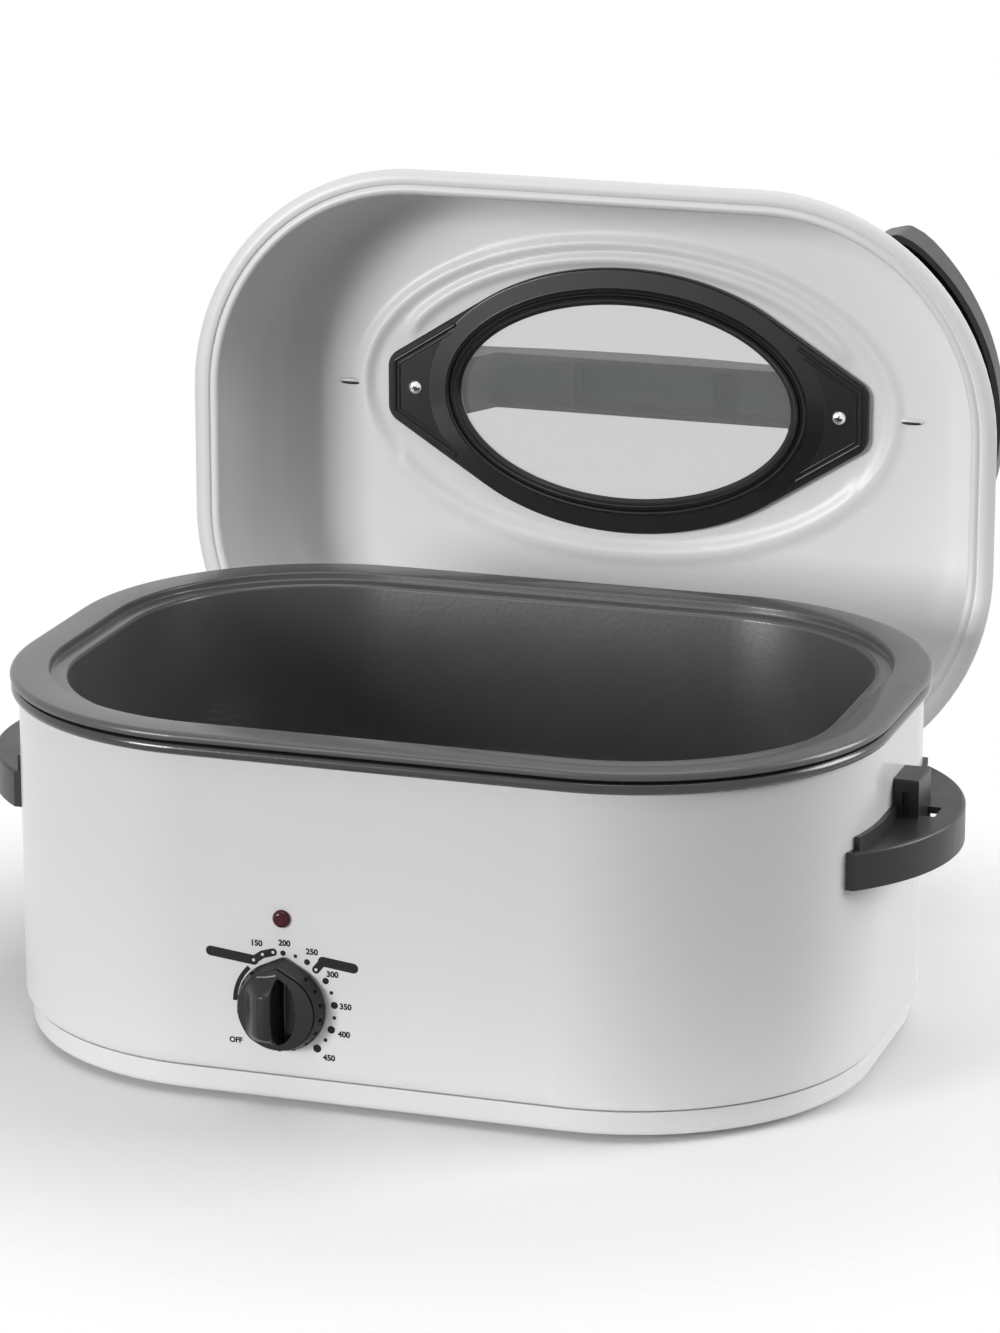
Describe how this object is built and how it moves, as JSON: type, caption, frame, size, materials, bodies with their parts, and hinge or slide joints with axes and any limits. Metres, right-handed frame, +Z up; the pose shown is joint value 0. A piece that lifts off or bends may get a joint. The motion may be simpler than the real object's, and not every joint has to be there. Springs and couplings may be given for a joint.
{
  "type": "electric roaster oven",
  "caption": "Countertop electric roaster oven: rounded rectangular body, lift-out pan and rack, thermostat knob, and a windowed domed lid that swings back upright.",
  "frame": {"origin": "on the table, under the middle of the body", "axes": "+Z up; +X to the user's right; +Y to the back, so the knob faces -Y; the lid rests open, upright behind the body"},
  "size_m": [0.582, 0.5735, 0.4594],
  "materials": {
    "white_enamel": "gloss",
    "grey_enamel": "gloss",
    "black_gloss": "gloss",
    "black_plastic": "satin",
    "rubber": "matte",
    "red_lens": "gloss",
    "lamp_body": "matte",
    "ceramic": "satin",
    "heater_steel": "satin",
    "aluminised": "satin",
    "glass_wool": "matte",
    "steel": "satin",
    "hinge_steel": "satin",
    "copper": "satin",
    "wire_sleeve": "matte",
    "bright_chrome": "polished",
    "rack_chrome": "polished",
    "clear_glass": "clear"
  },
  "bodies": {
    "oven": {"base_pan": "white_enamel", "bulb_clip": "steel", "cord_gland": "black_plastic", "foot_front_left": "rubber", "foot_front_right": "rubber", "foot_rear_left": "rubber", "foot_rear_right": "rubber", "foot_screws": "steel", "heater_terminals": "ceramic", "heating_band": "heater_steel", "heating_well": "aluminised", "hinge_bracket_left": "hinge_steel", "hinge_bracket_right": "hinge_steel", "hinge_bracket_screws": "steel", "housing": "white_enamel", "indicator_lamp": "lamp_body", "indicator_lens": "red_lens", "insulation_blanket": "glass_wool", "lower_hinge_pins": "steel", "rim_ring": "black_gloss", "roasting_pan": "grey_enamel", "sensing_bulb": "copper", "side_handle_left": "black_plastic", "side_handle_right": "black_plastic", "side_handle_screws": "steel", "terminal_block": "lamp_body", "thermostat_body": "lamp_body", "thermostat_bracket": "steel", "thermostat_screws": "steel", "well_standoffs": "steel", "wiring_harness": "wire_sleeve"},
    "links": {"hinge_link_left": "hinge_steel", "hinge_link_right": "hinge_steel"},
    "lid": {"lid_shell": "white_enamel", "window_glass": "clear_glass", "window_gasket": "rubber", "window_frame": "black_plastic", "lid_handle": "black_plastic", "lid_handle_screws": "bright_chrome", "lid_bracket_left": "hinge_steel", "lid_bracket_right": "hinge_steel", "lid_bracket_rivets": "steel", "upper_hinge_pins": "steel"},
    "knob": {"control_knob": "black_plastic", "thermostat_shaft": "steel"},
    "rack": {"rack_frame": "rack_chrome", "rack_grid": "rack_chrome"}
  },
  "joints": [
    {"name": "link_swing", "type": "hinge", "parent": "oven", "child": "links", "pos_m": [0, 0.204, 0.1403], "axis": [1, 0, 0], "range_deg": [0, 170]},
    {"name": "lid_tilt", "type": "hinge", "parent": "links", "child": "lid", "pos_m": [0, 0.2165, 0.06939], "axis": [1, 0, 0], "range_deg": [-80, 0]},
    {"name": "knob_turn", "type": "hinge", "parent": "oven", "child": "knob", "pos_m": [-0.05, -0.185, 0.0625], "axis": [0, 1, 0], "range_deg": [-138, 137]},
    {"name": "rack_lift", "type": "slide", "parent": "oven", "child": "rack", "axis": [0, 0, 1], "range_m": [0, 0.14]}
  ],
  "couplings": [
    {"joint": "lid_tilt", "follows": "link_swing", "ratio": -0.47059}
  ]
}
